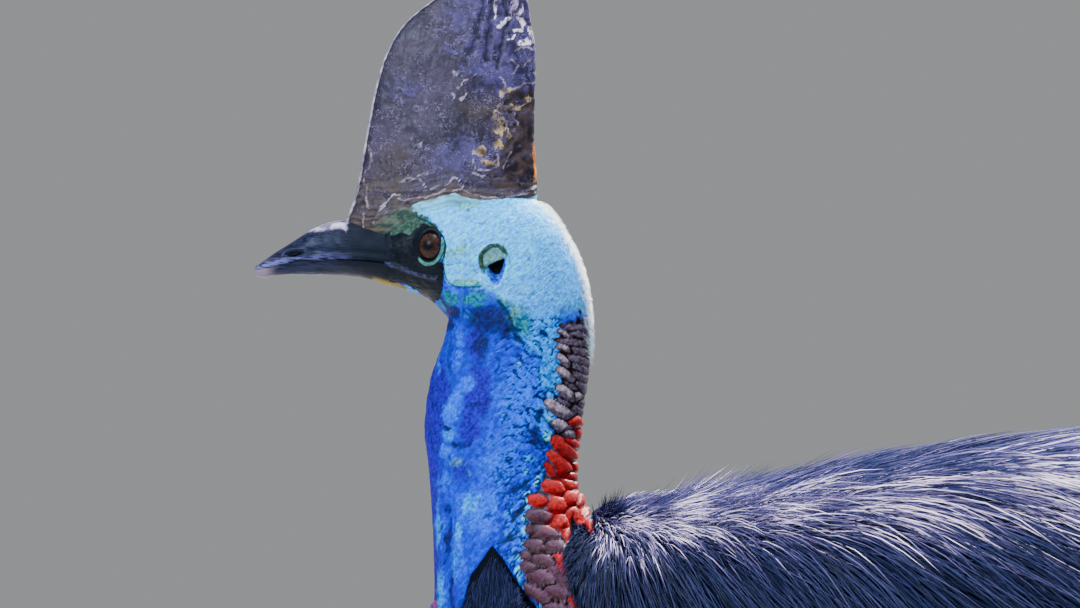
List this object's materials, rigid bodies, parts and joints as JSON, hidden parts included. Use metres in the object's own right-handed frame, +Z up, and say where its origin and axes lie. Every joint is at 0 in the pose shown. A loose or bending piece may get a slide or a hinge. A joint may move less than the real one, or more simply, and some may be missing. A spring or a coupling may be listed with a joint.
{
  "type": "southern cassowary, life-size standing model",
  "caption": "Life-size southern cassowary standing still: tall casque, bare blue neck with nape folds and wattles, long drooping black plumage, quills and dagger claws.",
  "frame": {"origin": "on the floor, under the middle of the bounding box", "axes": "+Z up, the bird faces -X, its left side is towards -Y"},
  "size_m": [1.1366, 0.4808, 1.385],
  "materials": {
    "head_skin": "bare, finely wrinkled skin, pale blue with sparse hair-like bristles, satin",
    "neck_skin": "bare wrinkled skin, deep blue, with orange, red and purple folds on the nape, satin",
    "wattle": "soft wrinkled red skin, satin",
    "casque": "dark horn, scratched and peeling, half gloss",
    "bill": "smooth black horn, glossy",
    "eye": "wet brown iris and black pupil under a clear cornea",
    "plumage": "long hair-like blue-black feathers with a silky sheen",
    "quill": "smooth black barbless quills",
    "scales": "horny grey-brown scutes and small scales, matte",
    "claw": "dark horn, half gloss"
  },
  "bodies": {
    "root": {"head": "head_skin", "neck": "neck_skin", "casque": "casque", "bill_upper": "bill", "bill_lower": "bill", "eye_left": "eye", "eye_right": "eye", "wattle_left": "wattle", "wattle_right": "wattle", "torso": "plumage", "tail": "plumage", "wing_left": "quill", "wing_right": "quill", "thigh_left": "plumage", "thigh_right": "plumage", "tarsus_left": "scales", "tarsus_right": "scales", "toe_inner_left": "scales", "toe_middle_left": "scales", "toe_outer_left": "scales", "toe_inner_right": "scales", "toe_middle_right": "scales", "toe_outer_right": "scales", "claw_inner_left": "claw", "claw_middle_left": "claw", "claw_outer_left": "claw", "claw_inner_right": "claw", "claw_middle_right": "claw", "claw_outer_right": "claw"}
  },
  "joints": []
}
